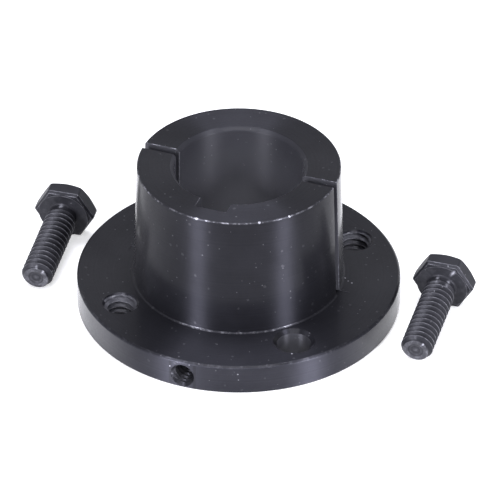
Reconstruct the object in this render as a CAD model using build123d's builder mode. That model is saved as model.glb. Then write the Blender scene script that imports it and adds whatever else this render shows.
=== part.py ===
"""Split taper bushing with its two hex cap screws lying beside it.

The bushing is turned steel: a round flange, and a barrel that tapers away from it and is
sawn open along two opposite walls, so that it closes on a shaft when it is drawn into a
tapered hub. Millimetres, +Z along the bore towards the barrel's small end. The origin is
on the bore's axis, on the back face that the bushing stands on.
"""
from build123d import *
from math import atan, cos, radians, sin, tan
import os

# Flange
flange_diameter = 63.5
flange_thickness = 6.35
flange_front_bevel = 0.45
flange_back_bevel = 0.4

# Holes through the flange, two tapped for jacking off and two clear for drawing up
rim_to_hole_centre = 6.35
hole_centre_to_barrel = 4.7625
tapped_hole_bearing = 45
clear_hole_bearing = 135
tapped_countersink = 0.4
clear_countersink = 0.7

# Tapered barrel: its wall at the foot, and its change of diameter for each unit of length
overall_length = 31.75
barrel_wall = 7.9375
barrel_taper = 1 / 16
barrel_foot_fillet = 0.4
barrel_end_bevel = 0.2

# Bore and its keyway
bore_end_bevel = 0.7
bore_back_bevel = 0.5
keyway_width = 6.35
keyway_depth = 3.175

# Two saw slots, each through one wall of the barrel and down to the flange
slot_width = 1.8

# The cap screws' thread and the holes for it: a 1/4 inch thread, 20 turns per inch
thread_diameter = 6.35
tap_drill_diameter = 5.1
screw_clearance = 0.4

# Radial hole in the rim for the set screw that bears on the key: a number 10 thread
set_screw_diameter = 4.826
set_screw_tap_drill = 3.8
set_screw_countersink = 0.09
set_screw_offset = -0.2

# Hex cap screw
screw_length = 19.05
screw_tip_bevel = 0.8
head_across_flats = 10.8
head_height = 3.5
head_top_bevel = 0.55
head_top_bevel_angle = 30
head_under_bevel = 0.45
head_corner_round = 0.6
washer_face_diameter = 10.2
washer_face_height = 0.4
head_fillet = 0.3

# Where the two loose screws lie, as bearings about the bore in degrees from +X
left_screw_gap = 2.4
left_screw_bearing = 170.0
left_screw_heading = 274.8
right_screw_gap = 2.0
right_screw_bearing = 14.6
right_screw_heading = 273.0

# The hole circle, the barrel's foot and the bore follow the flange, each inside the last
flange_radius = flange_diameter / 2
hole_circle_radius = flange_radius - rim_to_hole_centre
barrel_foot_radius = hole_circle_radius - hole_centre_to_barrel
bore_radius = barrel_foot_radius - barrel_wall
barrel_length = overall_length - flange_thickness
barrel_end_radius = barrel_foot_radius - barrel_taper * barrel_length / 2
clear_hole_radius = (thread_diameter + screw_clearance) / 2
head_flat_radius = head_across_flats / 2
head_corner_radius = head_flat_radius / cos(radians(30))

with BuildPart() as split_bushing:
    with BuildSketch(Plane.XZ) as half_section:
        with BuildLine():
            Polyline(
                (bore_radius, 0),
                (flange_radius, 0),
                (flange_radius, flange_thickness),
                (barrel_foot_radius, flange_thickness),
                (barrel_end_radius, overall_length),
                (bore_radius, overall_length),
                close=True,
            )
        make_face()
    revolve(axis=Axis.Z)

    turned_edges = split_bushing.edges().filter_by(GeomType.CIRCLE).group_by(SortBy.RADIUS)
    bore_edges = turned_edges[0].sort_by(Axis.Z)
    barrel_end_edge = turned_edges[1]
    barrel_foot_edge = turned_edges[2]
    flange_edges = turned_edges[3].sort_by(Axis.Z)
    chamfer(bore_edges[0], length=bore_back_bevel)
    chamfer(bore_edges[-1], length=bore_end_bevel)
    chamfer(barrel_end_edge, length=barrel_end_bevel)
    chamfer(flange_edges[0], length=flange_back_bevel)
    chamfer(flange_edges[-1], length=flange_front_bevel)
    fillet(barrel_foot_edge, radius=barrel_foot_fillet)

    # Saw slots: one cut straight across both walls
    with BuildSketch(Plane.XY.offset(flange_thickness)) as saw_cut:
        Rectangle(flange_diameter, slot_width)
    extrude(amount=barrel_length, mode=Mode.SUBTRACT)

    # Keyway, broached through the whole length on the -Y side
    with BuildSketch(Plane.XY) as keyway:
        with Locations((0, -bore_radius)):
            Rectangle(keyway_width, 2 * keyway_depth)
    extrude(amount=overall_length, mode=Mode.SUBTRACT)

    # Two tapped and two clear holes, countersunk from the front
    with Locations((0, 0, flange_thickness)):
        with PolarLocations(hole_circle_radius, 2, start_angle=tapped_hole_bearing):
            CounterSinkHole(
                radius=tap_drill_diameter / 2,
                counter_sink_radius=thread_diameter / 2 + tapped_countersink,
                depth=flange_thickness,
                counter_sink_angle=90,
            )
        with PolarLocations(hole_circle_radius, 2, start_angle=clear_hole_bearing):
            CounterSinkHole(
                radius=clear_hole_radius,
                counter_sink_radius=clear_hole_radius + clear_countersink,
                depth=flange_thickness,
                counter_sink_angle=90,
            )

    # Set-screw hole from the rim to the keyway
    set_screw_height = flange_thickness / 2 + set_screw_offset
    rim_plane = Plane(origin=(0, -flange_radius, set_screw_height), x_dir=(1, 0, 0), z_dir=(0, -1, 0))
    with Locations(rim_plane):
        CounterSinkHole(
            radius=set_screw_tap_drill / 2,
            counter_sink_radius=set_screw_diameter / 2 + set_screw_countersink,
            depth=flange_radius - bore_radius,
            counter_sink_angle=90,
        )

# The cap screw, upright: its bearing face is on XY, its head above and its shank below
with BuildPart() as cap_screw:
    with BuildSketch(Plane.XY.offset(washer_face_height)) as hexagon:
        RegularPolygon(radius=head_flat_radius, side_count=6, major_radius=False)
        fillet(hexagon.vertices(), radius=head_corner_round)
    extrude(amount=head_height - washer_face_height)
    chamfer(cap_screw.faces().sort_by(Axis.Z)[0].edges(), length=head_under_bevel)

    # The top of the head is bevelled on the lathe
    with BuildSketch(Plane.XZ) as turned_blank:
        with BuildLine():
            Polyline(
                (0, washer_face_height),
                (head_corner_radius, washer_face_height),
                (head_corner_radius, head_height - head_top_bevel),
                (head_corner_radius - head_top_bevel / tan(radians(head_top_bevel_angle)), head_height),
                (0, head_height),
                close=True,
            )
        make_face()
    revolve(axis=Axis.Z, mode=Mode.INTERSECT)

    with BuildSketch(Plane.XY) as washer_face:
        Circle(washer_face_diameter / 2)
    extrude(amount=washer_face_height)

    with BuildSketch(Plane.XY) as shank:
        Circle(thread_diameter / 2)
    extrude(amount=-screw_length)
    tip_edge = cap_screw.edges().filter_by(GeomType.CIRCLE).sort_by(Axis.Z)[0]
    chamfer(tip_edge, length=screw_tip_bevel)
    neck_edge = (
        cap_screw.edges()
        .filter_by(GeomType.CIRCLE)
        .filter_by_position(Axis.Z, -0.001, 0.001)
        .sort_by(SortBy.RADIUS)[0]
    )
    fillet(neck_edge, radius=head_fillet)


def resting_plane(gap, bearing, heading):
    """Plane of the bearing face of a screw that lies on the floor.

    The screw rests on the under edge of one head flat and on its last full thread, so its
    axis falls from the head to the tip. The plane's Z points out of the top of the head and
    its X lies level, so that a flat of the head faces straight down.
    """
    edge_back = washer_face_height + head_under_bevel
    fall = atan((head_flat_radius - thread_diameter / 2) / (screw_length - screw_tip_bevel + edge_back))
    height = head_flat_radius * cos(fall) + edge_back * sin(fall)
    reach = flange_radius + gap + head_corner_radius
    toward = radians(heading)
    return Plane(
        origin=(reach * cos(radians(bearing)), reach * sin(radians(bearing)), height),
        x_dir=(-sin(toward), cos(toward), 0),
        z_dir=(-cos(toward) * cos(fall), -sin(toward) * cos(fall), sin(fall)),
    )


split_bushing.part.label = "split_bushing"
os.makedirs("parts", exist_ok=True)
export_step(split_bushing.part, "parts/split_bushing.step")

# Gap to the flange, bearing of the head and heading of the tip for each loose screw
resting_places = {
    "cap_screw_left": (left_screw_gap, left_screw_bearing, left_screw_heading),
    "cap_screw_right": (right_screw_gap, right_screw_bearing, right_screw_heading),
}
for name, (gap, bearing, heading) in resting_places.items():
    with BuildPart(resting_plane(gap, bearing, heading)) as placed_screw:
        add(cap_screw.part)
    placed_screw.part.label = name
    export_step(placed_screw.part, f"parts/{name}.step")
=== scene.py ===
# %% [markdown]
# # A split taper bushing and its two cap screws
#
# The bushing locks a wheel or pulley on a shaft. Its barrel is turned to a slight taper and
# sawn open on two sides; the screws draw it into a hub with the same taper, and the saw
# slots let it close on the shaft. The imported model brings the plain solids. This script
# dresses them: real screw threads, softened edges, saw and tool marks and a black finish.

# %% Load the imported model
import math

import bmesh
import bpy
import numpy as np
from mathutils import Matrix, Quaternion, Vector


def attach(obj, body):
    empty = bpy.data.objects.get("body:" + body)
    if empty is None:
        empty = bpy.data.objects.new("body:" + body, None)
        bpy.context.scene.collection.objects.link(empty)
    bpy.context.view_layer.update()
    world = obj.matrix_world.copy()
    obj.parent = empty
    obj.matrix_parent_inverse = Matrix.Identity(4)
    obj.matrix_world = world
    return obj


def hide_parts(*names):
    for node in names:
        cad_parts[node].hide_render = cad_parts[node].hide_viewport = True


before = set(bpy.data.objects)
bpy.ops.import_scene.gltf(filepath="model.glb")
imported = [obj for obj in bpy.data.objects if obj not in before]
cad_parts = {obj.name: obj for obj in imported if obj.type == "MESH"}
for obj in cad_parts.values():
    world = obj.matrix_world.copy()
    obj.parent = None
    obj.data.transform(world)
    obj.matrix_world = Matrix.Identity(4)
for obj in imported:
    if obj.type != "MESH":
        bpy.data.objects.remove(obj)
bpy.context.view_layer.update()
MM = 0.001
print("nodes:", sorted(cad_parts))

# %% [markdown]
# ## The camera
#
# The bushing was photographed with a long lens from a good distance, so that its circles
# look like true ellipses. Pointing the camera is easiest with a turntable in mind: an
# azimuth round the bushing, an elevation above the table and a distance. The last small
# roll makes up for a camera that was not quite level.

# %% Camera
CAMERA_AIM = Vector((2.079, 0.750, 11.497)) * MM
CAMERA_AZIMUTH = math.radians(19.85)
CAMERA_ELEVATION = math.radians(35.42)
CAMERA_ROLL = math.radians(0.229)
CAMERA_DISTANCE = 1.2
CAMERA_LENS = 441.06
SENSOR_WIDTH = 36
NEAREST_SEEN = 0.05
FURTHEST_SEEN = 20

camera_data = bpy.data.cameras.new("camera")
camera_data.lens = CAMERA_LENS
camera_data.sensor_width = SENSOR_WIDTH
camera_data.clip_start = NEAREST_SEEN
camera_data.clip_end = FURTHEST_SEEN
camera = bpy.data.objects.new("camera", camera_data)
bpy.context.scene.collection.objects.link(camera)
toward_camera = Vector((
    math.sin(CAMERA_AZIMUTH) * math.cos(CAMERA_ELEVATION),
    -math.cos(CAMERA_AZIMUTH) * math.cos(CAMERA_ELEVATION),
    math.sin(CAMERA_ELEVATION),
))
camera.location = CAMERA_AIM + toward_camera * CAMERA_DISTANCE
camera.rotation_mode = "QUATERNION"
level_look = (-toward_camera).to_track_quat("-Z", "Y")
camera.rotation_quaternion = level_look @ Quaternion((0, 0, 1), CAMERA_ROLL)
bpy.context.scene.camera = camera
print("camera stands at", [round(x, 3) for x in camera.location])

# %% [markdown]
# ## Grids of points
#
# Every shape here starts as a grid: one parameter runs along a row, the other from row to
# row, and numpy works out all the points at once. Four neighbours make a face. Where rows
# meet at a pole or a seam their points fall on each other, so welding them closes the skin.

# %% Grid helper
WELD = 2e-7


def welded(mesh, outwards=False):
    """Welds the points of a mesh that fall on each other; it can also turn the faces outwards."""
    work = bmesh.new()
    work.from_mesh(mesh)
    bmesh.ops.remove_doubles(work, verts=work.verts, dist=WELD)
    bmesh.ops.dissolve_degenerate(work, edges=work.edges, dist=WELD)
    if outwards:
        bmesh.ops.recalc_face_normals(work, faces=work.faces)
    work.to_mesh(mesh)
    work.free()
    return mesh


def grid_mesh(name, points, ring=False, wear_and_glints=None):
    """Closed mesh of a grid of points, in metres, shape (rows, columns, 3).

    Each cell between four neighbours becomes a face; with ring=True the last row also
    meets the first. Points that fall on each other are welded, and faces point outwards.
    wear_and_glints, of shape (rows, columns), is kept on the points as the attribute of that
    name: wear, and on the screws also painted glints.
    """
    rows, columns = points.shape[:2]
    index = np.arange(rows * columns).reshape(rows, columns)
    if ring:
        index = np.vstack([index, index[:1]])
    corners = np.stack([index[:-1, :-1], index[:-1, 1:], index[1:, 1:], index[1:, :-1]], axis=-1)
    mesh = bpy.data.meshes.new(name)
    mesh.from_pydata(points.reshape(-1, 3).tolist(), [], corners.reshape(-1, 4).tolist())
    if wear_and_glints is not None:
        kept = mesh.attributes.new("wear_and_glints", "FLOAT", "POINT")
        kept.data.foreach_set("value", wear_and_glints.astype(np.float32).ravel())
    return welded(mesh, outwards=True)


def shown(name, mesh):
    """Object at the origin with that mesh, put into the scene."""
    piece = bpy.data.objects.new(name, mesh)
    bpy.context.scene.collection.objects.link(piece)
    return piece


print("points closer than", WELD, "m are welded")

# %% [markdown]
# ## Easing corners
#
# No real edge is knife-sharp: a hair of rounding gives it the thin glint that a sharp edge
# in a render never has. A bevel modifier could add it, but the corners are still plain
# numbers here, so each one is replaced by three points on a small curve.

# %% Eased corners
MOST_OF_SIDE = 0.4
TINY = 1e-9


def softened(rows, width):
    """Rows of (radius, height) with each corner eased: it becomes three points on a small curve.

    The rows have shape (rows, columns, 2). The outer two points lie the given width along
    the two sides, or at most MOST_OF_SIDE of a side, and the middle one halfway on their
    parabola: start / 4 + corner / 2 + end / 4.
    """
    before, corner, after = rows[:-2], rows[1:-1], rows[2:]

    def along(other):
        side = other - corner
        length = np.linalg.norm(side, axis=-1, keepdims=True)
        return corner + side * np.minimum(width / np.maximum(length, TINY), MOST_OF_SIDE)

    start, end = along(before), along(after)
    middle = start / 4 + corner / 2 + end / 4
    eased = np.stack([start, middle, end], axis=1).reshape(-1, *rows.shape[1:])
    return np.concatenate([rows[:1], eased, rows[-1:]])


def closed_section(corners, columns, ease):
    """A closed loop of corners as eased rows, the same at each of the columns."""
    loop = np.array([corners[-1], *corners, corners[0]], float)
    rows = np.repeat(loop[:, None, :], columns, axis=1)
    return softened(rows, ease)[1:-1]


print("a corner becomes three points, each within", MOST_OF_SIDE, "of a side")

# %% [markdown]
# ## The bushing's half section
#
# Flange, barrel and bore are one turned section: radius and height of each corner, in
# millimetres, anticlockwise from the bore's lower edge. The barrel loses 1/32 of radius for
# each unit of height, and a small fillet joins it to the flange, as the tool's nose leaves.

# %% Half section
FLANGE_RADIUS = 31.75
FLANGE_THICKNESS = 6.35
LENGTH = 31.75
FOOT_RADIUS = 20.6375
TAPER = 1 / 32
END_RADIUS = FOOT_RADIUS - TAPER * (LENGTH - FLANGE_THICKNESS)
BORE_RADIUS = 12.7
BORE_BACK_BEVEL = 0.5
BORE_END_BEVEL = 0.7
FLANGE_BACK_BEVEL = 0.4
FLANGE_FRONT_BEVEL = 0.45
BARREL_END_BEVEL = 0.2
FOOT_FILLET = 0.4
FILLET_STEPS = 7

fillet_radius = FOOT_RADIUS + FOOT_FILLET
fillet_height = FLANGE_THICKNESS + FOOT_FILLET
foot_fillet = [
    (fillet_radius + FOOT_FILLET * math.cos(a), fillet_height + FOOT_FILLET * math.sin(a))
    for a in np.radians(np.linspace(-90, -180, FILLET_STEPS))
]
section = [
    (BORE_RADIUS, BORE_BACK_BEVEL),
    (BORE_RADIUS + BORE_BACK_BEVEL, 0),
    (FLANGE_RADIUS - FLANGE_BACK_BEVEL, 0),
    (FLANGE_RADIUS, FLANGE_BACK_BEVEL),
    (FLANGE_RADIUS, FLANGE_THICKNESS - FLANGE_FRONT_BEVEL),
    (FLANGE_RADIUS - FLANGE_FRONT_BEVEL, FLANGE_THICKNESS),
    *foot_fillet,
    (END_RADIUS, LENGTH - BARREL_END_BEVEL),
    (END_RADIUS - BARREL_END_BEVEL, LENGTH),
    (BORE_RADIUS + BORE_END_BEVEL, LENGTH),
    (BORE_RADIUS, LENGTH - BORE_END_BEVEL),
]
print("half section has", len(section), "corners")

# %% [markdown]
# ## Turning the blank
#
# On the lathe, the half section spun round the axis gives the whole blank. Here it is spun
# in the same way: corner (r, z) at angle a goes to (r cos a, r sin a, z). The Spin tool
# would do it too, but a grid keeps the points in rows, ready for numpy.

# %% Bushing blank
EDGE_EASE = 0.05
BLANK_COLUMNS = 360


def spun(section_rows, angles):
    """Points of section rows (rows, columns, 2), in mm, spun round Z, in metres: (r cos a, r sin a, z)."""
    radius, height = section_rows[..., 0], section_rows[..., 1]
    return np.stack([radius * np.cos(angles), radius * np.sin(angles), height], axis=-1) * MM


full_turn = np.linspace(0, 2 * np.pi, BLANK_COLUMNS + 1)
blank_rows = closed_section(section, len(full_turn), EDGE_EASE)
blank_mesh = grid_mesh("bushing_blank", spun(blank_rows, full_turn), ring=True)
bushing = shown("bushing", blank_mesh)
print("blank has", len(blank_mesh.polygons), "faces")

# %% [markdown]
# ## A thread as a sheared grid
#
# A thread is one small profile wound round a cylinder. If the grid's rows ran level, the
# crest would cross them and look like a staircase. So each row climbs one pitch per turn:
# row and crest stay together, and the last column of a row meets the first column of the
# row one pitch higher. Past the thread's ends the heights are held at the end, where all
# rows fall on one circle and are welded.

# %% Thread grid
THREAD_RADIUS = 3.175
THREAD_PITCH = 1.27
PROFILE_PHASE = np.array([0.00, 0.07, 0.11, 0.37, 0.43, 0.50, 0.57, 0.63, 0.89, 0.93])
PROFILE_HEIGHT = np.array([1.00, 0.99, 0.92, 0.14, 0.03, 0.00, 0.03, 0.14, 0.92, 0.99])


def ridge(phase):
    """Height of the ridge, 0 at the root and 1 at the crest, at a share of a pitch from the crest."""
    wrapped = np.append(PROFILE_PHASE, 1.0)
    return np.interp(phase % 1.0, wrapped, np.append(PROFILE_HEIGHT, PROFILE_HEIGHT[0]))


def thread_rows(angles, low, high, pitch):
    """Angle and height of each grid point of a thread between two heights, in mm.

    Row m of turn k is at height pitch * (k + phase m + angle / full turn), held between
    low and high. The ridge at a point is ridge(height / pitch - angle / full turn).
    """
    first = math.floor(low / pitch) - 1
    last = math.ceil(high / pitch) + 1
    turns = (np.arange(first, last)[:, None] + PROFILE_PHASE[None, :]).ravel()
    share = angles / (2 * np.pi)
    heights = np.clip(pitch * (turns[:, None] + share[None, :]), low, high)
    return share, heights


def thread_radius(share, heights, pitch, root, crest):
    """Radius of a thread at those heights: root + (crest - root) * ridge."""
    return root + (crest - root) * ridge(heights / pitch - share)


print("one turn of thread has", len(PROFILE_PHASE), "rows")

# %% [markdown]
# ## Sawing and broaching
#
# The blank is cut as in the shop, by taking solids away from it. The saw blade and the
# broach are blocks a little longer than their cuts. The saw runs a hair into the flange,
# as a real saw does at its stop. A block is enough for each, because both cuts are straight.

# %% Saw and broach
SLOT_WIDTH = 1.8
SAW_STOP = 0.06
SAW_REACH = 2.2
KEYWAY_WIDTH = 6.35
KEYWAY_DEPTH = 3.175
PAST_END = 2


def prism(name, bottom, top):
    """Solid between two polygons, in mm, given counter-clockwise from above: corner joins to corner."""
    count = len(bottom)
    under_face = tuple(reversed(range(count)))
    top_face = tuple(range(count, 2 * count))
    sides = [(i, (i + 1) % count, count + (i + 1) % count, count + i) for i in range(count)]
    mesh = bpy.data.meshes.new(name)
    points = np.array([*bottom, *top], float) * MM
    mesh.from_pydata(points.tolist(), [], [under_face, top_face, *sides])
    return shown(name, mesh)


def rectangle(low, high, height, grow=0.0):
    """Corners of a level rectangle from low to high (x, y), widened by grow on every side."""
    left, front, right, back = low[0] - grow, low[1] - grow, high[0] + grow, high[1] + grow
    return [(left, front, height), (right, front, height), (right, back, height), (left, back, height)]


def block(name, low, high, bottom, top):
    """A cutter with upright sides over a rectangle, from height bottom to height top."""
    return prism(name, rectangle(low, high, bottom), rectangle(low, high, top))


SAW_LOW = (-FOOT_RADIUS - SAW_REACH, -SLOT_WIDTH / 2)
SAW_HIGH = (FOOT_RADIUS + SAW_REACH, SLOT_WIDTH / 2)
KEY_LOW = (-KEYWAY_WIDTH / 2, -BORE_RADIUS - KEYWAY_DEPTH)
KEY_HIGH = (KEYWAY_WIDTH / 2, -BORE_RADIUS / 2)
cutters = [
    block("saw", SAW_LOW, SAW_HIGH, FLANGE_THICKNESS - SAW_STOP, LENGTH + PAST_END),
    block("broach", KEY_LOW, KEY_HIGH, -PAST_END, LENGTH + PAST_END),
]
print("straight cutters:", [cutter.name for cutter in cutters])

# %% [markdown]
# ## Drills and taps
#
# A drill is a section spun round its axis, like the blank. A tap is a thread grid whose
# ridges dig past the drilled wall, and its upper end opens into the countersink. Cutting
# with a thread leaves a real helix in the metal, which a bump map only pretends.

# %% Turned cutters
TOOL_COLUMNS = 100


def capped(rows):
    """Rows (rows, columns, 2) of radius and height with a point on the axis added at both ends."""
    first, last = rows[:1].copy(), rows[-1:].copy()
    first[..., 0], last[..., 0] = 0, 0
    return np.concatenate([first, rows, last])


def drill(name, corners):
    """A turned cutter: the corners (radius, height), in mm, spun round Z and closed on the axis."""
    angles = np.linspace(0, 2 * np.pi, TOOL_COLUMNS + 1)
    rows = np.repeat(np.array(corners, float)[:, None, :], len(angles), axis=1)
    return shown(name, grid_mesh(name, spun(capped(rows), angles)))


def tap(name, low, high, pitch, root, crest, mouth, face):
    """A thread cutter: at each point the larger of the thread and the countersink cone.

    The cone's radius is mouth at height face and grows as the height does.
    """
    angles = np.linspace(0, 2 * np.pi, TOOL_COLUMNS + 1)
    share, heights = thread_rows(angles, low, high, pitch)
    radius = np.maximum(thread_radius(share, heights, pitch, root, crest), mouth + heights - face)
    rows = np.stack([radius, heights], axis=-1)
    return shown(name, grid_mesh(name, spun(capped(rows), angles)))


def moved(piece, across, along, up, lean=0.0):
    """Puts a cutter's mesh at a place in mm, after leaning it about X by an angle."""
    turn = Quaternion((1, 0, 0), lean).to_matrix().to_4x4()
    piece.data.transform(turn)
    turn.identity()
    turn.translation = Vector((across, along, up)) * MM
    piece.data.transform(turn)
    return piece


print("turned cutters have", TOOL_COLUMNS, "columns")

# %% [markdown]
# ## Holes in the flange
#
# Four holes share one circle. The two clear holes take the screws that pull the bushing into
# its hub. The two tapped ones take the same screws to push it out again.

# %% Flange holes
HOLE_CIRCLE = 25.4
TAPPED_BEARINGS = (45, 225)
CLEAR_BEARINGS = (135, 315)
TAP_DRILL_RADIUS = 2.55
TAPPED_COUNTERSINK = 0.4
CLEAR_RADIUS = 3.375
CLEAR_COUNTERSINK = 0.7
BELOW_BACK = -1
ABOVE_FACE = 0.25


def hole_place(bearing):
    """Place of a hole, in mm: the point of the hole circle at a bearing in degrees."""
    turn = math.radians(bearing)
    return HOLE_CIRCLE * math.cos(turn), HOLE_CIRCLE * math.sin(turn)


for bearing in TAPPED_BEARINGS:
    cutter = tap(f"tap_{bearing}", BELOW_BACK, FLANGE_THICKNESS + ABOVE_FACE, THREAD_PITCH,
                 TAP_DRILL_RADIUS, THREAD_RADIUS, THREAD_RADIUS + TAPPED_COUNTERSINK, FLANGE_THICKNESS)
    cutters.append(moved(cutter, *hole_place(bearing), 0))
for bearing in CLEAR_BEARINGS:
    cutter = drill(f"drill_{bearing}", [
        (CLEAR_RADIUS, BELOW_BACK),
        (CLEAR_RADIUS, FLANGE_THICKNESS - CLEAR_COUNTERSINK),
        (CLEAR_RADIUS + CLEAR_COUNTERSINK + ABOVE_FACE, FLANGE_THICKNESS + ABOVE_FACE),
    ])
    cutters.append(moved(cutter, *hole_place(bearing), 0))
print("cutters now:", len(cutters))

# %% [markdown]
# ## The set-screw hole
#
# A set screw in the rim presses on the key. Its hole is tapped inwards from the rim to the
# keyway, so this tap is made upright like the others and then leaned over by 90 degrees.

# %% Set-screw hole
SET_SCREW_RADIUS = 2.413
SET_SCREW_DRILL_RADIUS = 1.9
SET_SCREW_MOUTH = 2.503
SET_SCREW_PITCH = 1.058
SET_SCREW_HEIGHT = 2.975
RIM_TAP_LENGTH = 19.5
RIM_TAP_DEPTH = 18.75

rim_tap = tap("rim_tap", 0, RIM_TAP_LENGTH, SET_SCREW_PITCH, SET_SCREW_DRILL_RADIUS, SET_SCREW_RADIUS,
              SET_SCREW_MOUTH, RIM_TAP_DEPTH)
cutters.append(moved(rim_tap, 0, RIM_TAP_DEPTH - FLANGE_RADIUS, SET_SCREW_HEIGHT, math.radians(90)))
print("cutters:", [cutter.name for cutter in cutters])

# %% [markdown]
# ## Breaking the sawn and broached edges
#
# A fresh cut has sharp edges, and a file leaves a narrow flat on each. The file is a few
# more cutters: one that flares over each cut at the end face, and a wedge that runs down
# the barrel's wall and the bore along each saw cut, its point hidden inside the cut.

# %% Edge files
EDGE_BREAK = 0.08
OVERSHOOT = 0.5
ABOVE_FILLET = 0.1


def flare(name, low, high):
    """A cutter whose walls spread at 45 degrees from just below the end face to above it."""
    start, end = LENGTH - EDGE_BREAK, LENGTH + OVERSHOOT
    return prism(name, rectangle(low, high, start), rectangle(low, high, end, end - start))


def wedge(name, low_wall, high_wall, low, high, side, outward):
    """A triangular cutter along a wall, its edge inside the saw cut and its back outside the wall.

    The wall is at x = side * low_wall at height low and side * high_wall at height high, and
    outward is 1 where the metal lies inside that wall and -1 where it lies outside.
    """
    half = SLOT_WIDTH / 2 + EDGE_BREAK
    ends = []
    for wall, height in ((low_wall, low), (high_wall, high)):
        point, back = wall - outward * half, wall + outward * OVERSHOOT
        corners = [
            (side * point, 0, height),
            (side * back, -half - OVERSHOOT, height),
            (side * back, half + OVERSHOOT, height),
        ]
        ends.append(corners if side * outward > 0 else corners[::-1])
    return prism(name, *ends)


cutters.append(flare("saw_file", SAW_LOW, SAW_HIGH))
cutters.append(flare("broach_file", KEY_LOW, KEY_HIGH))
file_low = FLANGE_THICKNESS + FOOT_FILLET + ABOVE_FILLET
file_high = LENGTH + OVERSHOOT
foot_wall = FOOT_RADIUS - TAPER * (file_low - FLANGE_THICKNESS)
end_wall = FOOT_RADIUS - TAPER * (file_high - FLANGE_THICKNESS)
for side in (-1, 1):
    cutters.append(wedge(f"barrel_file_{side}", foot_wall, end_wall, file_low, file_high, side, 1))
    cutters.append(wedge(f"bore_file_{side}", BORE_RADIUS, BORE_RADIUS, file_low, file_high, side, -1))
print("cutters now:", len(cutters))

# %% [markdown]
# ## Making the cuts
#
# Blender's exact boolean takes each cutter away in turn. Points that fall on each other
# afterwards are welded, and the tools are put away.

# %% Cut the blank
for cutter in cutters:
    cut = bushing.modifiers.new(cutter.name, "BOOLEAN")
    cut.operation = "DIFFERENCE"
    cut.solver = "EXACT"
    cut.object = cutter
depsgraph = bpy.context.evaluated_depsgraph_get()
cut_mesh = bpy.data.meshes.new_from_object(bushing.evaluated_get(depsgraph))
bushing.modifiers.clear()
bushing.data = welded(cut_mesh)
for cutter in cutters:
    bpy.data.objects.remove(cutter)
print("bushing after cutting:", len(cut_mesh.polygons), "faces")

# %% [markdown]
# ## A cap screw as one skin
#
# The real screw is one piece of wire: its head is forged and its thread rolled. So its skin
# is one grid too, from the middle of the tip to the middle of the head. Every column is one
# direction round the axis. Columns stand closer at the six corners, where the head curves
# most, and the thread's rows climb as before.

# %% Hexagon
HEAD_FLAT = 5.4
HEAD_CORNER_ROUND = 0.6
HEAD_UNDER_BEVEL = 0.45
FLAT_COLUMNS = 13
CORNER_COLUMNS = 4
SIXTH = np.pi / 3


def hexagon_radius(angles, flat, corner_round):
    """Distance to a hexagon with rounded corners, its corners at 0, 60, ... degrees.

    On a flat it is flat / cos(angle from the flat's middle). Near a corner it is the far
    side of a circle whose centre lies on the corner's line.
    """
    off_flat = angles % SIXTH - SIXTH / 2
    off_corner = SIXTH / 2 - np.abs(off_flat)
    core = flat - corner_round
    centre = core / math.cos(SIXTH / 2)
    reach = np.sqrt(np.maximum(corner_round ** 2 - (centre * np.sin(off_corner)) ** 2, 0))
    on_flat = flat * np.tan(np.abs(off_flat)) <= core * math.tan(SIXTH / 2)
    return np.where(on_flat, flat / np.cos(off_flat), centre * np.cos(off_corner) + reach)


corner_end = SIXTH / 2 - math.atan((HEAD_FLAT - HEAD_CORNER_ROUND) * math.tan(SIXTH / 2) / HEAD_FLAT)
one_side = np.concatenate([
    np.linspace(0, corner_end, CORNER_COLUMNS)[:-1],
    np.linspace(corner_end, SIXTH - corner_end, FLAT_COLUMNS),
    np.linspace(SIXTH - corner_end, SIXTH, CORNER_COLUMNS)[1:-1],
])
screw_angles = np.append((np.arange(6)[:, None] * SIXTH + one_side[None, :]).ravel(), 2 * np.pi)
print("screw has", len(screw_angles) - 1, "columns")

# %% [markdown]
# ## Tip and thread
#
# The rolled thread is the larger part of the skin: its crests stay just inside the solid's
# cylinder, it is cut short by the cone at the tip, and it fades into a plain neck under the
# head. The cut end of the wire is a little dished, so the tip is a few shallow rings.

# %% Tip and thread
SCREW_LENGTH = 19.05
THREAD_ROOT = 2.40
THREAD_CREST = 3.15
NECK_RADIUS = 2.78
NECK_START = -0.95
ROOT_FADE_START, ROOT_FADE_END = NECK_START - 1.5, NECK_START - 0.1
CREST_FADE_START = NECK_START - 1.1
TIP_RADIUS = 2.375
# radius of each ring of the tip, and how far it lies inside the end, in mm
TIP_RINGS = [(0, 0.12), (0.3, 0.144), (0.75, 0.24), (1.15, 0.18), (1.45, 0.03), (1.6, 0)]


def level(radius, height):
    """One row of the skin at a height: its radius may change round the axis."""
    row = np.broadcast_to(radius, screw_angles.shape), np.broadcast_to(height, screw_angles.shape)
    return np.stack(row, axis=-1)


def faded(start, end, heights, low, high):
    """Goes smoothly from start to end as the height goes from low to high: t t (3 - 2 t)."""
    t = np.clip((heights - low) / (high - low), 0, 1)
    return start + (end - start) * t * t * (3 - 2 * t)


share, heights = thread_rows(screw_angles, -SCREW_LENGTH, NECK_START, THREAD_PITCH)
root = faded(THREAD_ROOT, NECK_RADIUS, heights, ROOT_FADE_START, ROOT_FADE_END)
crest = faded(THREAD_CREST, NECK_RADIUS, heights, CREST_FADE_START, NECK_START)
tip_cone = TIP_RADIUS + heights + SCREW_LENGTH
thread = np.minimum(thread_radius(share, heights, THREAD_PITCH, root, crest), tip_cone)
shank_rows = np.stack([thread, heights], axis=-1)
tip_rows = np.stack([level(radius, inside - SCREW_LENGTH) for radius, inside in TIP_RINGS])
print("tip and shank:", len(tip_rows) + len(shank_rows), "rows")

# %% [markdown]
# ## Head
#
# The forged head has a round washer face below, then the hexagon with its bevelled under
# edge, then the cone that the lathe left on top. Where the cone meets the flats it draws the
# curved lines of every bolt head: on each column the flat ends where the cone is as wide.

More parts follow.
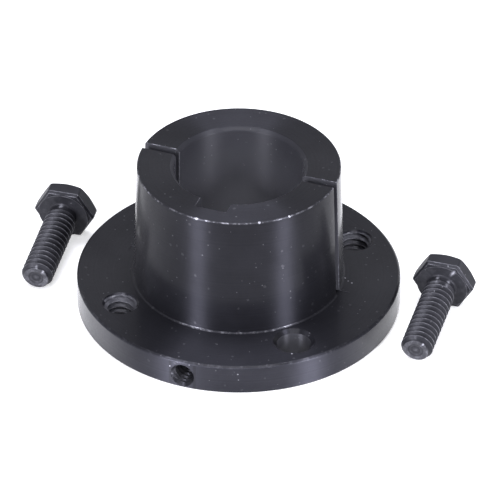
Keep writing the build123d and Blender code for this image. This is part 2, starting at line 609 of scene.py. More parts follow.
# %% Head
WASHER_RADIUS = 5.1
WASHER_HEIGHT = 0.4
HEAD_HEIGHT = 3.5
HEAD_TOP_BEVEL = 0.55
HEAD_EASE = 0.12
NECK_FILLET = 0.5
TOP_SLOPE = math.tan(math.radians(30))

hexagon = hexagon_radius(screw_angles, HEAD_FLAT, HEAD_CORNER_ROUND)
under = hexagon_radius(screw_angles, HEAD_FLAT - HEAD_UNDER_BEVEL, HEAD_CORNER_ROUND - HEAD_UNDER_BEVEL)
head_corner = HEAD_FLAT / math.cos(SIXTH / 2)
top_circle = head_corner - HEAD_TOP_BEVEL / TOP_SLOPE
neck_rows = [
    level(NECK_RADIUS + NECK_FILLET * (1 - math.cos(a)), NECK_FILLET * (math.sin(a) - 1))
    for a in np.radians([0, 30, 60, 90])
]
head_corners = np.stack([
    neck_rows[-1],
    level(WASHER_RADIUS, 0),
    level(WASHER_RADIUS, WASHER_HEIGHT),
    level(under, WASHER_HEIGHT),
    level(hexagon, WASHER_HEIGHT + HEAD_UNDER_BEVEL),
    level(hexagon, HEAD_HEIGHT - (hexagon - top_circle) * TOP_SLOPE),
    level(top_circle, HEAD_HEIGHT),
    level(0, HEAD_HEIGHT),
])
head_rows = softened(head_corners, HEAD_EASE)[1:]
screw_rows = np.concatenate([tip_rows, shank_rows, np.stack(neck_rows), head_rows])
print("screw skin:", screw_rows.shape[0], "rows")

# %% [markdown]
# ## Wear on the skin
#
# Thread crests and the edges of the head lose their black first. Each point of the skin gets
# a wear value from 0 to 1 for the finish to use: one value for a whole row at tip and head,
# and a high power of the ridge on the thread, so that only its very crest is worn.

# %% Wear of the rows
TIP_WEAR = 0.58
TIP_RING_WEAR = [0.8, 0.5, 0.2, 0.45, 0.2, TIP_WEAR]
TIP_RIM_WIDTH = 0.15
CREST_WEAR = 0.8
CREST_POWER = 24
PLAIN_NECK = 0.3
WASHER_WEAR = 0.25
HEAD_EDGE_WEAR = [0.7, 0.4, 1.0, 1.0, 1.0, 0.5]


def row_wear(values):
    """Wear of whole rows: one value a row, the same on each column."""
    return np.repeat(np.array(values, float)[:, None], len(screw_angles), axis=1)


crest_wear = CREST_WEAR * ridge(heights / THREAD_PITCH - share) ** CREST_POWER
crest_wear = np.where(heights > NECK_START - PLAIN_NECK, 0, crest_wear)
rim_wear = TIP_WEAR * np.exp(-((tip_cone - TIP_RADIUS) / TIP_RIM_WIDTH) ** 2)
head_wear = [value for edge in HEAD_EDGE_WEAR for value in (0, edge, 0)]
head_wear[0] = WASHER_WEAR
screw_wear = np.concatenate([
    row_wear(TIP_RING_WEAR),
    np.maximum(crest_wear, rim_wear),
    row_wear([0, 0, 0, WASHER_WEAR]),
    row_wear([*head_wear, 0]),
])
print("worn points:", int((screw_wear > 0).sum()))

# %% [markdown]
# ## Painted glints
#
# Each screw gets a few painted glints: bright spots at the tip and under the head, painted
# highlights where light glints. A glint is a place on the screw and a size; its painted
# brightness grows towards its middle.

# %% Painted glints
GLINT_STRENGTH = 2.0
# radius, bearing in degrees and height of a painted glint on the upright screw, then its size, in mm
SCREW_GLINTS = {
    "cap_screw_left": [
        (2.4, 310, -18.95, 0.30),
        (2.8, 266, -0.55, 0.42),
        (3.0, 264, -2.3, 0.30),
        (2.6, 272, -18.75, 0.3),
    ],
    "cap_screw_right": [
        (2.4, 310, -18.95, 0.26),
        (2.9, 306, -18.6, 0.22),
        (2.8, 256, -0.65, 0.36),
        (3.0, 260, -2.15, 0.36),
        (2.8, 306, -0.85, 0.38),
        (2.9, 304, -1.95, 0.38),
        (3.15, 304, -7.45, 0.26),
        (2.9, 268, -18.5, 0.3),
        (4.9, 300, 0.1, 0.35),
    ],
}


def with_painted_glints(rows, wear_and_glints, glints):
    """Wear of the skin with painted glints added, each a bell: GLINT_STRENGTH * exp(-(distance / size)
    squared).
    """
    points = spun(rows, screw_angles) / MM
    for glint_radius, bearing, height, size in glints:
        turn = math.radians(bearing)
        middle = np.array([glint_radius * math.cos(turn), glint_radius * math.sin(turn), height])
        off = np.linalg.norm(points - middle, axis=-1)
        wear_and_glints = np.maximum(wear_and_glints, GLINT_STRENGTH * np.exp(-(off / size) ** 2))
    return wear_and_glints


print("spots:", {name: len(glints) for name, glints in SCREW_GLINTS.items()})

# %% [markdown]
# ## Laying the screws down
#
# A screw on a table rests on one flat of its head and on the last thread at its tip, so its
# axis falls a little from head to tip. The fall follows from the head's flat and the
# thread's radius. The place and heading of each screw were read from the photograph.

# %% Screws in place
# gap from the flange's rim in mm, bearing of the head and heading of the tip in degrees
SCREW_PLACES = {
    "cap_screw_left": (2.4, 170.0, 274.8),
    "cap_screw_right": (2.0, 14.6, 273.0),
}


def laid_down(points, gap, bearing, heading):
    """Moves points of an upright screw, in metres, to where it lies.

    gap is from the flange's rim to the nearest head corner, bearing the head's direction
    from the bore's axis and heading the direction in which the tip points, in degrees.
    """
    edge_back = WASHER_HEIGHT + HEAD_UNDER_BEVEL
    run = SCREW_LENGTH - (THREAD_RADIUS - TIP_RADIUS) + edge_back
    fall = math.atan((HEAD_FLAT - THREAD_RADIUS) / run)
    height = HEAD_FLAT * math.cos(fall) + edge_back * math.sin(fall)
    reach = FLANGE_RADIUS + gap + head_corner
    turn, place = math.radians(heading), math.radians(bearing)
    across = np.array([-math.sin(turn), math.cos(turn), 0])
    upward = np.array([-math.cos(turn) * math.cos(fall), -math.sin(turn) * math.cos(fall), math.sin(fall)])
    axes = np.stack([across, np.cross(upward, across), upward])
    return points @ axes + np.array([reach * math.cos(place), reach * math.sin(place), height]) * MM


screws = {}
for name, place in SCREW_PLACES.items():
    skin = laid_down(spun(screw_rows, screw_angles), *place)
    # wear of the skin with its painted glints added
    skin_wear_and_glints = with_painted_glints(screw_rows, screw_wear, SCREW_GLINTS[name])
    screws[name] = shown(f"{name}_threaded", grid_mesh(name, skin, wear_and_glints=skin_wear_and_glints))
    print(name, "has", len(screws[name].data.polygons), "faces")

# %% [markdown]
# ## Smooth shading
#
# Turned steel looks smooth although the mesh has facets. So every face is shaded smooth,
# real edges are marked sharp by their angle, and weighted normals keep the large flat faces
# flat right up to their eased edges.

# %% Smooth shading
SHARP_ANGLE = math.radians(32)
AREA_WEIGHT = 60

for piece in [bushing, *screws.values()]:
    piece.data.shade_smooth()
    piece.data.set_sharp_from_angle(angle=SHARP_ANGLE)
    weighted = piece.modifiers.new("weighted_normals", "WEIGHTED_NORMAL")
    weighted.keep_sharp = True
    weighted.weight = AREA_WEIGHT
print("smooth pieces:", 1 + len(screws))

# %% [markdown]
# ## Which edges are rubbed or painted bright
#
# Handling rubs the oxide off narrow edges first, so bare steel shines along them. The mesh
# already knows where they are: the filed facets and the small turned bevels are faces that
# lean between level and upright, near the end face, the saw cuts, the flange's corner or the
# barrel's foot. At the foot the bare steel is a painted highlight, only on one side. On the
# crests in the tapped holes it is wear, and partly a painted highlight that lifts their shade.
# An attribute on the faces marks them, and the finish reads it.

# %% Edge attribute
# a face's lean is 1 where it is level and 0 where it is upright
LEAN_LEAST, LEAN_MOST = 0.25, 0.97
STEEP = 0.75
SLANT = 0.3
# how near its edge a face lies, in mm
END_BAND = 0.22
CORNER_BAND = 0.5
WALL_BAND = 0.1
PAST_BEVEL = 0.75
NEAR_SLOT = 1.1
# the foot's bare steel is a painted highlight on one side, from a cosine to that side upwards
FOOT_HIGHLIGHT_BEARING = math.radians(-74)
FOOT_HIGHLIGHT_FROM, FOOT_HIGHLIGHT_SPREAD = 0.72, 0.2
# how far each kind of edge is rubbed, from 0 to 1; at the foot it is a painted highlight
END_FACE_RUB = 1.0
SLOT_RUB = 0.3
FLANGE_RUB = 0.1
FOOT_PAINTED_HIGHLIGHT = 0.6
# wear, and partly a painted highlight in the tapped holes' shade
THREAD_RUB_AND_HIGHLIGHT = 0.3


def face_numbers(mesh):
    """Centre in mm and normal of each face, as two arrays of shape (faces, 3)."""
    centre = np.empty(len(mesh.polygons) * 3)
    normal = np.empty(len(mesh.polygons) * 3)
    mesh.polygons.foreach_get("center", centre)
    mesh.polygons.foreach_get("normal", normal)
    return centre.reshape(-1, 3) / MM, normal.reshape(-1, 3)


def face_mark(name, values):
    """Keeps one number a face on the bushing's mesh, for a material to read."""
    kept = bushing.data.attributes.new(name, "FLOAT", "FACE")
    kept.data.foreach_set("value", values.astype(np.float32))


centre, normal = face_numbers(bushing.data)
face_x, face_y, face_z = centre.T
lean_x, lean_y, lean_z = np.abs(normal).T
out = np.hypot(face_x, face_y)
aside = np.abs(face_y)
leaning = (lean_z > LEAN_LEAST) & (lean_z < LEAN_MOST)

on_bore_bevel = (out > BORE_RADIUS + WALL_BAND) & (out < BORE_RADIUS + BORE_END_BEVEL)
end_face_edge = leaning & (face_z > LENGTH - END_BAND)
end_face_edge &= (out > BORE_RADIUS + PAST_BEVEL) | (lean_z < STEEP)
end_face_edge &= ~(on_bore_bevel & (aside > NEAR_SLOT))
slot_edge = (aside > SLOT_WIDTH / 2) & (aside < SLOT_WIDTH / 2 + EDGE_BREAK)
slot_edge &= (lean_x > SLANT) & (lean_y > SLANT) & (face_z > FLANGE_THICKNESS)
flange_edge = leaning & (out > FLANGE_RADIUS - CORNER_BAND)
flange_edge &= face_z > FLANGE_THICKNESS - CORNER_BAND
foot_edge = leaning & (out < FOOT_RADIUS + FOOT_FILLET) & (out > FOOT_RADIUS)
foot_edge &= face_z < FLANGE_THICKNESS + FOOT_FILLET
# painted highlight: the foot shows bare steel only on the side toward this bearing
toward_foot_highlight = np.cos(np.arctan2(face_y, face_x) - FOOT_HIGHLIGHT_BEARING)
foot_highlight_side = np.clip((toward_foot_highlight - FOOT_HIGHLIGHT_FROM) / FOOT_HIGHLIGHT_SPREAD, 0, 1)

hole_side = HOLE_CIRCLE / math.sqrt(2)
off_hole = np.hypot(np.abs(face_x) - hole_side, aside - hole_side)
by_tapped_hole = face_x * face_y > 0
# crests in the tapped holes: worn, and partly a painted highlight that lifts the holes' shade
thread_edge = (off_hole < TAP_DRILL_RADIUS + WALL_BAND) & by_tapped_hole
edge = END_FACE_RUB * end_face_edge + SLOT_RUB * slot_edge + FLANGE_RUB * flange_edge
edge = edge + FOOT_PAINTED_HIGHLIGHT * foot_edge * foot_highlight_side + THREAD_RUB_AND_HIGHLIGHT * thread_edge
face_mark("edge", edge)
print("faces on edges:", int((edge > 0).sum()))

# %% [markdown]
# ## Where the oxide is dull
#
# Inside the bore, the saw cuts and the holes nothing rubs or oils the oxide, so it stays
# duller. There its colour is also painted paler: painted fill light that lifts the shade of
# these hollows, and a painted highlight on the bore's end bevel. A second attribute marks
# those faces.

# %% Inner attribute
HAIR = 0.01
KEYWAY_REACH = 16.3
RIM_MOUTH_DEPTH = 0.55
# how dull each inner face is, and how much painted light makes its colour paler, from 0 to 1
BORE_DULL_AND_PAINTED_LIGHT = 1.0
BEVEL_DULL_AND_PAINTED_LIGHT = 0.7
SLOT_DULL_AND_PAINTED_LIGHT = 0.9
CLEAR_HOLE_DULL_AND_PAINTED_LIGHT = 0.5
TAPPED_HOLE_DULL_AND_PAINTED_LIGHT = 0.55
RIM_HOLE_DULL_AND_PAINTED_LIGHT = 0.16
RIM_MOUTH_DULL_AND_PAINTED_LIGHT = 0.06

upright = lean_z < 0.5
in_bore = upright & (out < BORE_RADIUS + 0.05)
in_keyway = upright & (face_y < 0) & (np.abs(face_x) < KEYWAY_WIDTH / 2 + HAIR) & (out < KEYWAY_REACH)
in_slot = (aside < SLOT_WIDTH / 2 + HAIR) & (lean_y > 0.9) & (out < FOOT_RADIUS) & (out > BORE_RADIUS)
in_clear_hole = (off_hole < CLEAR_RADIUS + WALL_BAND) & (lean_z < 0.9) & (face_x * face_y < 0)
in_tapped_hole = (off_hole < THREAD_RADIUS + WALL_BAND) & by_tapped_hole
in_tapped_hole &= face_z < FLANGE_THICKNESS - 0.05
in_rim_hole = (np.hypot(face_x, face_z - SET_SCREW_HEIGHT) < SET_SCREW_MOUTH) & (face_y < 0)
in_rim_hole &= out > BORE_RADIUS
in_rim_mouth = in_rim_hole & (out > FLANGE_RADIUS - RIM_MOUTH_DEPTH)
in_bevel = leaning & (out < BORE_RADIUS + 0.65) & (face_z > LENGTH - BORE_END_BEVEL)
dull_and_painted_light = np.maximum.reduce([
    BORE_DULL_AND_PAINTED_LIGHT * in_bore,
    BORE_DULL_AND_PAINTED_LIGHT * in_keyway,
    BEVEL_DULL_AND_PAINTED_LIGHT * in_bevel,
    SLOT_DULL_AND_PAINTED_LIGHT * in_slot,
    CLEAR_HOLE_DULL_AND_PAINTED_LIGHT * in_clear_hole,
    TAPPED_HOLE_DULL_AND_PAINTED_LIGHT * in_tapped_hole,
    np.where(in_rim_mouth, RIM_MOUTH_DULL_AND_PAINTED_LIGHT, RIM_HOLE_DULL_AND_PAINTED_LIGHT * in_rim_hole),
])
face_mark("dull_and_painted_light", dull_and_painted_light)
print("faces inside:", int((dull_and_painted_light > 0).sum()))

# %% [markdown]
# ## Black oxide
#
# The black finish is a thin iron oxide grown on the steel in a hot salt bath. It is nearly
# as dark as coal, with a satin gloss, and it keeps every tool mark of the metal below. On
# turned faces those marks are rings, so light stretches across them into soft bands.
#
# Three small helpers write its node trees: one starts a material, one adds a node and one
# fills a socket with a number or with another node.

# %% Node helpers
def new_material(name):
    """An empty material with its Principled shader and output, and its node tree."""
    material = bpy.data.materials.new(name)
    material.use_nodes = True
    tree = material.node_tree
    tree.nodes.clear()
    shader = tree.nodes.new("ShaderNodeBsdfPrincipled")
    output = tree.nodes.new("ShaderNodeOutputMaterial")
    tree.links.new(shader.outputs[0], output.inputs["Surface"])
    return material, tree, shader


def add(tree, kind, settings=None, **sockets):
    """A node of that kind; settings are its own properties, sockets are linked or set by name."""
    node = tree.nodes.new(kind)
    for key, value in (settings or {}).items():
        setattr(node, key, value)
    for key, value in sockets.items():
        plug(tree, node.inputs[key.replace("_", " ")], value)
    return node


def plug(tree, socket, value):
    """Links another socket into this one, or sets its value."""
    if isinstance(value, bpy.types.NodeSocket):
        tree.links.new(value, socket)
    else:
        socket.default_value = value


print("helpers for nodes are ready")

# %% [markdown]
# ## Arithmetic between sockets
#
# Most of a procedural finish is arithmetic: a noise times a share, a distance turned into a
# mask, a colour between two others. Four more helpers write each such step as one call.

# %% Node arithmetic
def calc(tree, operation, *values):
    """One step of arithmetic on sockets and numbers."""
    node = tree.nodes.new("ShaderNodeMath")
    node.operation = operation
    for socket, value in zip(node.inputs, values):
        plug(tree, socket, value)
    return node.outputs[0]


def ramp(tree, value, low, high, start=0.0, end=1.0):
    """Goes from start to end as the value goes from low to high, and stays there outside."""
    node = add(tree, "ShaderNodeMapRange", {"interpolation_type": "SMOOTHSTEP"}, Value=value)
    for key, number in (("From Min", low), ("From Max", high), ("To Min", start), ("To Max", end)):
        node.inputs[key].default_value = number
    return node.outputs[0]


def blend(tree, amount, first, second):
    """Colour between two colours."""
    node = add(tree, "ShaderNodeMix", {"data_type": "RGBA"})
    plug(tree, node.inputs[0], amount)
    plug(tree, node.inputs[6], first)
    plug(tree, node.inputs[7], second)
    return node.outputs[2]


def noise(tree, scale, detail, roughness=0.5, **along):
    """A noise from 0 to 1, in space (Vector=a place) or along one number (W=that number)."""
    kind = {"noise_dimensions": "1D" if "W" in along else "3D"}
    node = add(tree, "ShaderNodeTexNoise", kind, Scale=scale, Detail=detail, Roughness=roughness, **along)
    return node.outputs["Fac"]


print("helpers for arithmetic are ready")

# %% [markdown]
# ## Tints and nicks
#
# The photograph gives the tints: a cool near-black outside, a paler one that is painted fill
# light in the bore and the holes, and bare steel where something struck, which also serves for
# painted highlights and glints. The larger nicks have their places in a list, because they are
# accidents that no pattern repeats.

# %% Tints and nicks
OXIDE_DARK = (0.0142, 0.0142, 0.0183, 1)
OXIDE_LIGHT = (0.0184, 0.0184, 0.0233, 1)
# painted light: this paler colour stands in for fill light in the bore and the holes
PAINTED_LIGHT_TINT = (0.1080, 0.1080, 0.1230, 1)
# bare steel of worn edges and nicks, also used for painted highlights and glints
BARE_STEEL_AND_GLINTS = (0.36, 0.36, 0.40, 1)
DUST = (0.22, 0.22, 0.24, 1)
# radius, bearing in degrees and height of a nick, then its own radius, all in mm
NICKS = [
    (19.75, -94.3, 31.65, 0.30),
    (19.70, -58.5, 31.68, 0.34),
    (19.75, -40.6, 31.65, 0.30),
    (19.75, -76.1, 31.65, 0.16),
    (19.75, -84.0, 31.65, 0.14),
    (31.75, -70.2, 4.70, 0.20),
    (31.75, -70.0, 3.35, 0.17),
    (31.72, -94.6, 4.60, 0.20),
    (31.70, -87.4, 5.80, 0.16),
    (31.70, -88.6, 5.85, 0.12),
    (31.70, -91.8, 5.90, 0.12),
    (21.0, 14.1, 6.36, 0.22),
    (22.5, 10.2, 6.36, 0.24),
    (21.7, 11.6, 6.36, 0.16),
    (29.1, -49.3, 6.30, 0.24),
]
print("nicks:", len(NICKS))

# %% [markdown]
# ## Specks of dust
#
# Fine pale specks lie all over the real parts. A Voronoi pattern cuts space into cells with
# one point each; a small ball round some of those points is a speck. A little noise on its
# surface makes it ragged.

# %% Dust
TEAR_SCALE = 4000.0
# cells a metre, size in metres and raggedness of scuffs, then of specks
SCUFFS = (700.0, 0.00052, 0.30)
SPECKS = (900.0, 0.00015)
SCREW_SPECKS = (900.0, 0.00014)


def dust(tree, place, cells_per_metre, size, ragged=0.0):
    """Mask of scattered specks: 1 where the distance to a chosen cell's point is under size.

    ragged shifts the surface of each ball by a fine noise, in cell widths.
    """
    cells = add(tree, "ShaderNodeTexVoronoi", Vector=place, Scale=cells_per_metre)
    chosen = add(tree, "ShaderNodeSeparateColor", Color=cells.outputs["Color"])
    reach = calc(tree, "MULTIPLY", ramp(tree, chosen.outputs[0], 0.5, 1.0), size * cells_per_metre)
    tear = noise(tree, TEAR_SCALE, 2.0, Vector=place)
    torn = calc(tree, "ADD", cells.outputs["Distance"], calc(tree, "MULTIPLY", tear, ragged))
    return calc(tree, "LESS_THAN", torn, reach)


print("dust is torn by a noise of", TEAR_SCALE, "waves a metre")

# %% [markdown]
# ## The turned finish: patterns
#
# The lathe's marks depend only on radius + height: on a flat face the height is constant and
# they are rings, on the barrel the radius is nearly constant and they are level lines. One
# noise of that single number gives both. Three more noises of the place itself give the
# clouds of the oxide, its grain and the patches where edges are worn through.

# %% Patterns of the turned finish
FINE_MARKS = 9000.0
COARSE_MARKS = 2600.0
CLOUDS = 120.0
GRAIN = 2400.0
PATCHES = 750.0

bushing_finish, tree, shader = new_material("black_oxide_turned")
place = add(tree, "ShaderNodeTexCoord").outputs["Object"]
parts = add(tree, "ShaderNodeSeparateXYZ", Vector=place)
x, y, z = (parts.outputs[axis] for axis in "XYZ")
squares = calc(tree, "ADD", calc(tree, "MULTIPLY", x, x), calc(tree, "MULTIPLY", y, y))
radius = calc(tree, "SQRT", squares)
turned = calc(tree, "ADD", radius, z)
fine = noise(tree, FINE_MARKS, 2.0, W=turned)
coarse = noise(tree, COARSE_MARKS, 3.0, W=turned)
broad = noise(tree, CLOUDS, 5.0, 0.6, Vector=place)
grain = noise(tree, GRAIN, 2.0, 0.6, Vector=place)
patch = noise(tree, PATCHES, 3.0, 0.7, Vector=place)
edge = add(tree, "ShaderNodeAttribute", {"attribute_name": "edge"}).outputs["Fac"]
# dullness of the inner faces, and how much painted light makes them paler
inside = add(tree, "ShaderNodeAttribute", {"attribute_name": "dull_and_painted_light"}).outputs["Fac"]
print("patterns:", len(tree.nodes), "nodes")

# %% [markdown]
# ## The turned finish: colour
#
# The oxide is a blend of two near-blacks by clouds and rings. The rim is painted a little
# lighter, a painted reflection of the white floor. Inside the bore and the holes the colour is
# painted paler as fill light, least towards the bore's open end. On top lie bare steel where
# edges are worn or nicked, painted highlights at the barrel's foot, then scuffs and specks.

# %% Colour of the turned finish
CLOUD_SHARE = 0.7
RING_SHARE = 0.3
PAINTED_LIGHT_AT_END = 0.12
# the rim's colour is painted lighter, a painted reflection of the white floor
RIM_PAINTED_REFLECTION = 1.8
NICK_TEAR = 0.2
NICK_BARE = 0.9
WORN_LEAST, WORN_MOST = 0.05, 0.8
SCUFF_COVER = 0.10
SPECK_COVER = 0.3

# painted fill light inside: full up to the bore's middle height, less towards its open end
painted_light_depth = ramp(tree, z, LENGTH * MM / 2, LENGTH * MM, 1.0, PAINTED_LIGHT_AT_END)
rim = ramp(tree, radius, (FLANGE_RADIUS - 0.2) * MM, (FLANGE_RADIUS - 0.1) * MM)
rim = calc(tree, "MULTIPLY", rim, calc(tree, "LESS_THAN", inside, 0.05))
# painted reflection: the rim's colour is scaled up
painted_rim_reflection = calc(tree, "ADD", calc(tree, "MULTIPLY", rim, RIM_PAINTED_REFLECTION - 1.0), 1.0)
clouds = calc(tree, "MULTIPLY", broad, CLOUD_SHARE)
shade = calc(tree, "ADD", clouds, calc(tree, "MULTIPLY", coarse, RING_SHARE))
oxide = blend(tree, ramp(tree, shade, 0.35, 0.65), OXIDE_DARK, OXIDE_LIGHT)
oxide = add(tree, "ShaderNodeVectorMath", {"operation": "SCALE"}, Vector=oxide, Scale=painted_rim_reflection).outputs[0]
# the inner faces' colour is painted paler, standing in for fill light in their shade
oxide = blend(tree, calc(tree, "MULTIPLY", inside, painted_light_depth), oxide, PAINTED_LIGHT_TINT)

# bare steel where edges are worn, and along the foot a painted highlight
worn = calc(tree, "MULTIPLY", edge, ramp(tree, patch, 0.45, 0.74, WORN_LEAST, WORN_MOST))
for nick_radius, bearing, height, size in NICKS:
    turn = math.radians(bearing)
    middle = Vector((nick_radius * math.cos(turn), nick_radius * math.sin(turn), height)) * MM
    spot = add(tree, "ShaderNodeVectorMath", {"operation": "DISTANCE"}, Vector=place)
    spot.inputs[1].default_value = middle
    torn = calc(tree, "ADD", spot.outputs["Value"], calc(tree, "MULTIPLY", grain, NICK_TEAR * MM))
    nick = ramp(tree, torn, (size - 0.05) * MM, (size + 0.1) * MM, NICK_BARE, 0.0)
    worn = calc(tree, "MAXIMUM", worn, nick)

scuffs = calc(tree, "MULTIPLY", dust(tree, place, *SCUFFS), SCUFF_COVER)
specks = calc(tree, "MULTIPLY", dust(tree, place, *SPECKS), SPECK_COVER)
specks = calc(tree, "MAXIMUM", scuffs, specks)
colour = blend(tree, specks, blend(tree, worn, oxide, BARE_STEEL_AND_GLINTS), DUST)
plug(tree, shader.inputs["Base Color"], colour)
print("with colour:", len(tree.nodes), "nodes")

# %% [markdown]
# ## The turned finish: gloss
#
# The oiled oxide has a satin gloss, and inside the bore it is duller. Anisotropy with its
# tangent round the axis spreads light across the marks into the two soft bands. A thin coat
# stands for the oil: it grows at grazing angles, soonest on the rim.

# %% Gloss of the turned finish
INSIDE_ROUGHER = 0.2
INSIDE_LESS_METAL = 0.6
METAL = 0.85
RING_BUMP = 0.000006

gloss = ramp(tree, grain, 0.3, 0.7, 0.42, 0.48)
rougher = calc(tree, "ADD", gloss, calc(tree, "MULTIPLY", inside, INSIDE_ROUGHER))
plug(tree, shader.inputs["Roughness"], rougher)
metal = calc(tree, "SUBTRACT", METAL, calc(tree, "MULTIPLY", inside, INSIDE_LESS_METAL))
plug(tree, shader.inputs["Metallic"], metal)
shader.inputs["Specular IOR Level"].default_value = 0.3
grazing = add(tree, "ShaderNodeLayerWeight", Blend=0.5).outputs["Facing"]
rim_gloss = calc(tree, "MULTIPLY", rim, ramp(tree, grazing, 0.25, 0.6, 0.0, 0.8))
coat = calc(tree, "MAXIMUM", ramp(tree, grazing, 0.6, 0.95, 0.2, 1.0), rim_gloss)
plug(tree, shader.inputs["Coat Weight"], coat)
shader.inputs["Coat Roughness"].default_value = 0.18
shader.inputs["Coat IOR"].default_value = 1.4
shader.inputs["Anisotropic"].default_value = 0.96
shader.inputs["Anisotropic Rotation"].default_value = 0.25
tangent = add(tree, "ShaderNodeCombineXYZ", X=calc(tree, "MULTIPLY", y, -1.0), Y=x)
plug(tree, shader.inputs["Tangent"], tangent.outputs[0])
relief = calc(tree, "ADD", calc(tree, "MULTIPLY", fine, 0.5), calc(tree, "MULTIPLY", coarse, 0.5))
bump = add(tree, "ShaderNodeBump", Height=relief, Distance=RING_BUMP, Strength=0.5)
plug(tree, shader.inputs["Normal"], bump.outputs[0])
bushing.data.materials.clear()
bushing.data.materials.append(bushing_finish)
print("bushing finish:", len(tree.nodes), "nodes")

# %% [markdown]
# ## The rolled finish
#
# The screws were rolled and forged, so they have no turning marks: on them the same oxide has
# an even grain and one gloss all round. The grid carried a wear value for crests and edges,
# where the steel shines through in places, and the painted glints, which are painted
# highlights in the same bare-steel colour.

# %% Screw finish
SCREW_DARK = (0.0168, 0.0168, 0.0205, 1)
SCREW_LIGHT = (0.0243, 0.0243, 0.0290, 1)
SCREW_CLOUDS = 260.0
SCREW_GRAIN = 2200.0
SCREW_PATCHES = 900.0
SCREW_SPECK_COVER = 0.7
GRAIN_BUMP = 0.00001

screw_finish, tree, shader = new_material("black_oxide_rolled")
place = add(tree, "ShaderNodeTexCoord").outputs["Object"]
broad = noise(tree, SCREW_CLOUDS, 4.0, 0.55, Vector=place)
grain = noise(tree, SCREW_GRAIN, 2.0, 0.6, Vector=place)
patch = noise(tree, SCREW_PATCHES, 3.0, 0.7, Vector=place)
wear_and_glints = add(tree, "ShaderNodeAttribute", {"attribute_name": "wear_and_glints"}).outputs["Fac"]
oxide = blend(tree, ramp(tree, broad, 0.3, 0.7), SCREW_DARK, SCREW_LIGHT)
showing = ramp(tree, patch, 0.42, 0.70, 0.25, 0.75)
# bare steel where worn, and painted glints where the spots are painted highlights
worn = calc(tree, "MULTIPLY", calc(tree, "POWER", wear_and_glints, 2.0), showing)
specks = calc(tree, "MULTIPLY", dust(tree, place, *SCREW_SPECKS), SCREW_SPECK_COVER)
colour = blend(tree, specks, blend(tree, worn, oxide, BARE_STEEL_AND_GLINTS), DUST)
plug(tree, shader.inputs["Base Color"], colour)
plug(tree, shader.inputs["Roughness"], ramp(tree, grain, 0.3, 0.7, 0.42, 0.50))
shader.inputs["Metallic"].default_value = 0.4
shader.inputs["Specular IOR Level"].default_value = 0.15
bump = add(tree, "ShaderNodeBump", Height=grain, Distance=GRAIN_BUMP, Strength=0.4)
plug(tree, shader.inputs["Normal"], bump.outputs[0])
for piece in screws.values():
    piece.data.materials.clear()
    piece.data.materials.append(screw_finish)
print("screw finish:", len(tree.nodes), "nodes")

# %% [markdown]
# ## Floor
#
# The photograph is a plain studio shot on a white ground. The floor is one large pale face
# that takes the pieces' soft shadows. An extra glow, which only the camera and mirrored rays
# see, turns it white in the picture without lighting the pieces.

# %% Floor
FLOOR_REACH = 1.5
FLOOR_SEEN = 0.5
FLOOR_MIRRORED = 0.45

floor_mesh = grid_mesh("floor", np.array([
    [(-FLOOR_REACH, -FLOOR_REACH, 0), (FLOOR_REACH, -FLOOR_REACH, 0)],
    [(-FLOOR_REACH, FLOOR_REACH, 0), (FLOOR_REACH, FLOOR_REACH, 0)],
], float))
floor = shown("floor", floor_mesh)
floor_paint = bpy.data.materials.new("pale_floor")
floor_paint.use_nodes = True
tree = floor_paint.node_tree
tree.nodes.clear()
rays = add(tree, "ShaderNodeLightPath")
mirrored = calc(tree, "MAXIMUM", rays.outputs["Is Glossy Ray"], rays.outputs["Is Transmission Ray"])
mirrored = calc(tree, "MULTIPLY", mirrored, FLOOR_MIRRORED)
seen = calc(tree, "ADD", mirrored, calc(tree, "MULTIPLY", rays.outputs["Is Camera Ray"], FLOOR_SEEN))
paint = add(tree, "ShaderNodeBsdfDiffuse", Color=(0.85, 0.85, 0.85, 1))
glow = add(tree, "ShaderNodeEmission", Color=(1, 1, 1, 1), Strength=seen)
both = add(tree, "ShaderNodeAddShader")
tree.links.new(paint.outputs[0], both.inputs[0])
tree.links.new(glow.outputs[0], both.inputs[1])
output = add(tree, "ShaderNodeOutputMaterial")
tree.links.new(both.outputs[0], output.inputs["Surface"])
floor.data.materials.append(floor_paint)
print("floor is", 2 * FLOOR_REACH, "m wide")

# %% [markdown]
# ## The white room
#
# Light comes from all round, as in a light tent. The camera and mirrored rays see a white
# room, and the light that it sheds on the pieces is much weaker. What the steel mirrors of
# it is a little cool, as in the photograph.

# %% World
COOL_WHITE = (0.96, 0.965, 1.04, 1)
ROOM_LIGHT = 0.15
ROOM_SEEN = 1.0

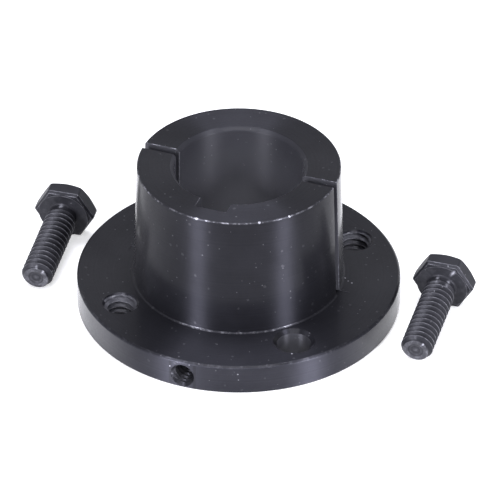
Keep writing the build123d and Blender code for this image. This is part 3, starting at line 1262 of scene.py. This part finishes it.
world = bpy.data.worlds.new("studio")
bpy.context.scene.world = world
world.use_nodes = True
tree = world.node_tree
tree.nodes.clear()
rays = add(tree, "ShaderNodeLightPath")
seen = calc(tree, "MAXIMUM", rays.outputs["Is Camera Ray"], rays.outputs["Is Glossy Ray"])
seen = calc(tree, "MAXIMUM", seen, rays.outputs["Is Transmission Ray"])
sky_tint = blend(tree, rays.outputs["Is Camera Ray"], COOL_WHITE, (1, 1, 1, 1))
strength = ramp(tree, seen, 0.0, 1.0, ROOM_LIGHT, ROOM_SEEN)
sky = add(tree, "ShaderNodeBackground", Color=sky_tint, Strength=strength)
output = add(tree, "ShaderNodeOutputWorld")
tree.links.new(sky.outputs[0], output.inputs["Surface"])
bpy.context.scene.view_settings.view_transform = "Standard"
print("world is lit")

# %% [markdown]
# ## The lamps
#
# One large soft lamp on each side makes the two soft bands on the barrel. One more in front
# and one high behind lift the level faces. Each lamp is placed like the camera, by an
# azimuth from it and an elevation, and points at the bushing.

# %% Lamps
# azimuth from the camera and elevation in degrees, width and height in metres, power in watts
LAMPS = {
    "left_softbox": (-42, 16, 0.38, 0.9, 34),
    "right_softbox": (48, 16, 0.38, 0.9, 34),
    "front_softbox": (0, 56, 1.2, 0.4, 9),
    "top_softbox": (180, 80, 0.8, 0.5, 16),
}
LAMP_DISTANCE = 1.6
for name, (azimuth, elevation, width, height, power) in LAMPS.items():
    data = bpy.data.lights.new(name, "AREA")
    data.energy = power
    data.shape = "RECTANGLE"
    data.size = width
    data.size_y = height
    data.color = COOL_WHITE[:3]
    lamp = bpy.data.objects.new(name, data)
    bpy.context.scene.collection.objects.link(lamp)
    around, up = CAMERA_AZIMUTH + math.radians(azimuth), math.radians(elevation)
    toward = Vector((math.sin(around) * math.cos(up), -math.cos(around) * math.cos(up), math.sin(up)))
    lamp.location = toward * LAMP_DISTANCE
    lamp.rotation_mode = "QUATERNION"
    lamp.rotation_quaternion = toward.to_track_quat("Z", "Y")
print("lamps:", list(LAMPS))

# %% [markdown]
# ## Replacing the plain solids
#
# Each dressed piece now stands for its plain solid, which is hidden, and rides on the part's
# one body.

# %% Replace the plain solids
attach(bushing, "root")
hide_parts("split_bushing")
for name, piece in screws.items():
    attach(piece, "root")
    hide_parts(name)
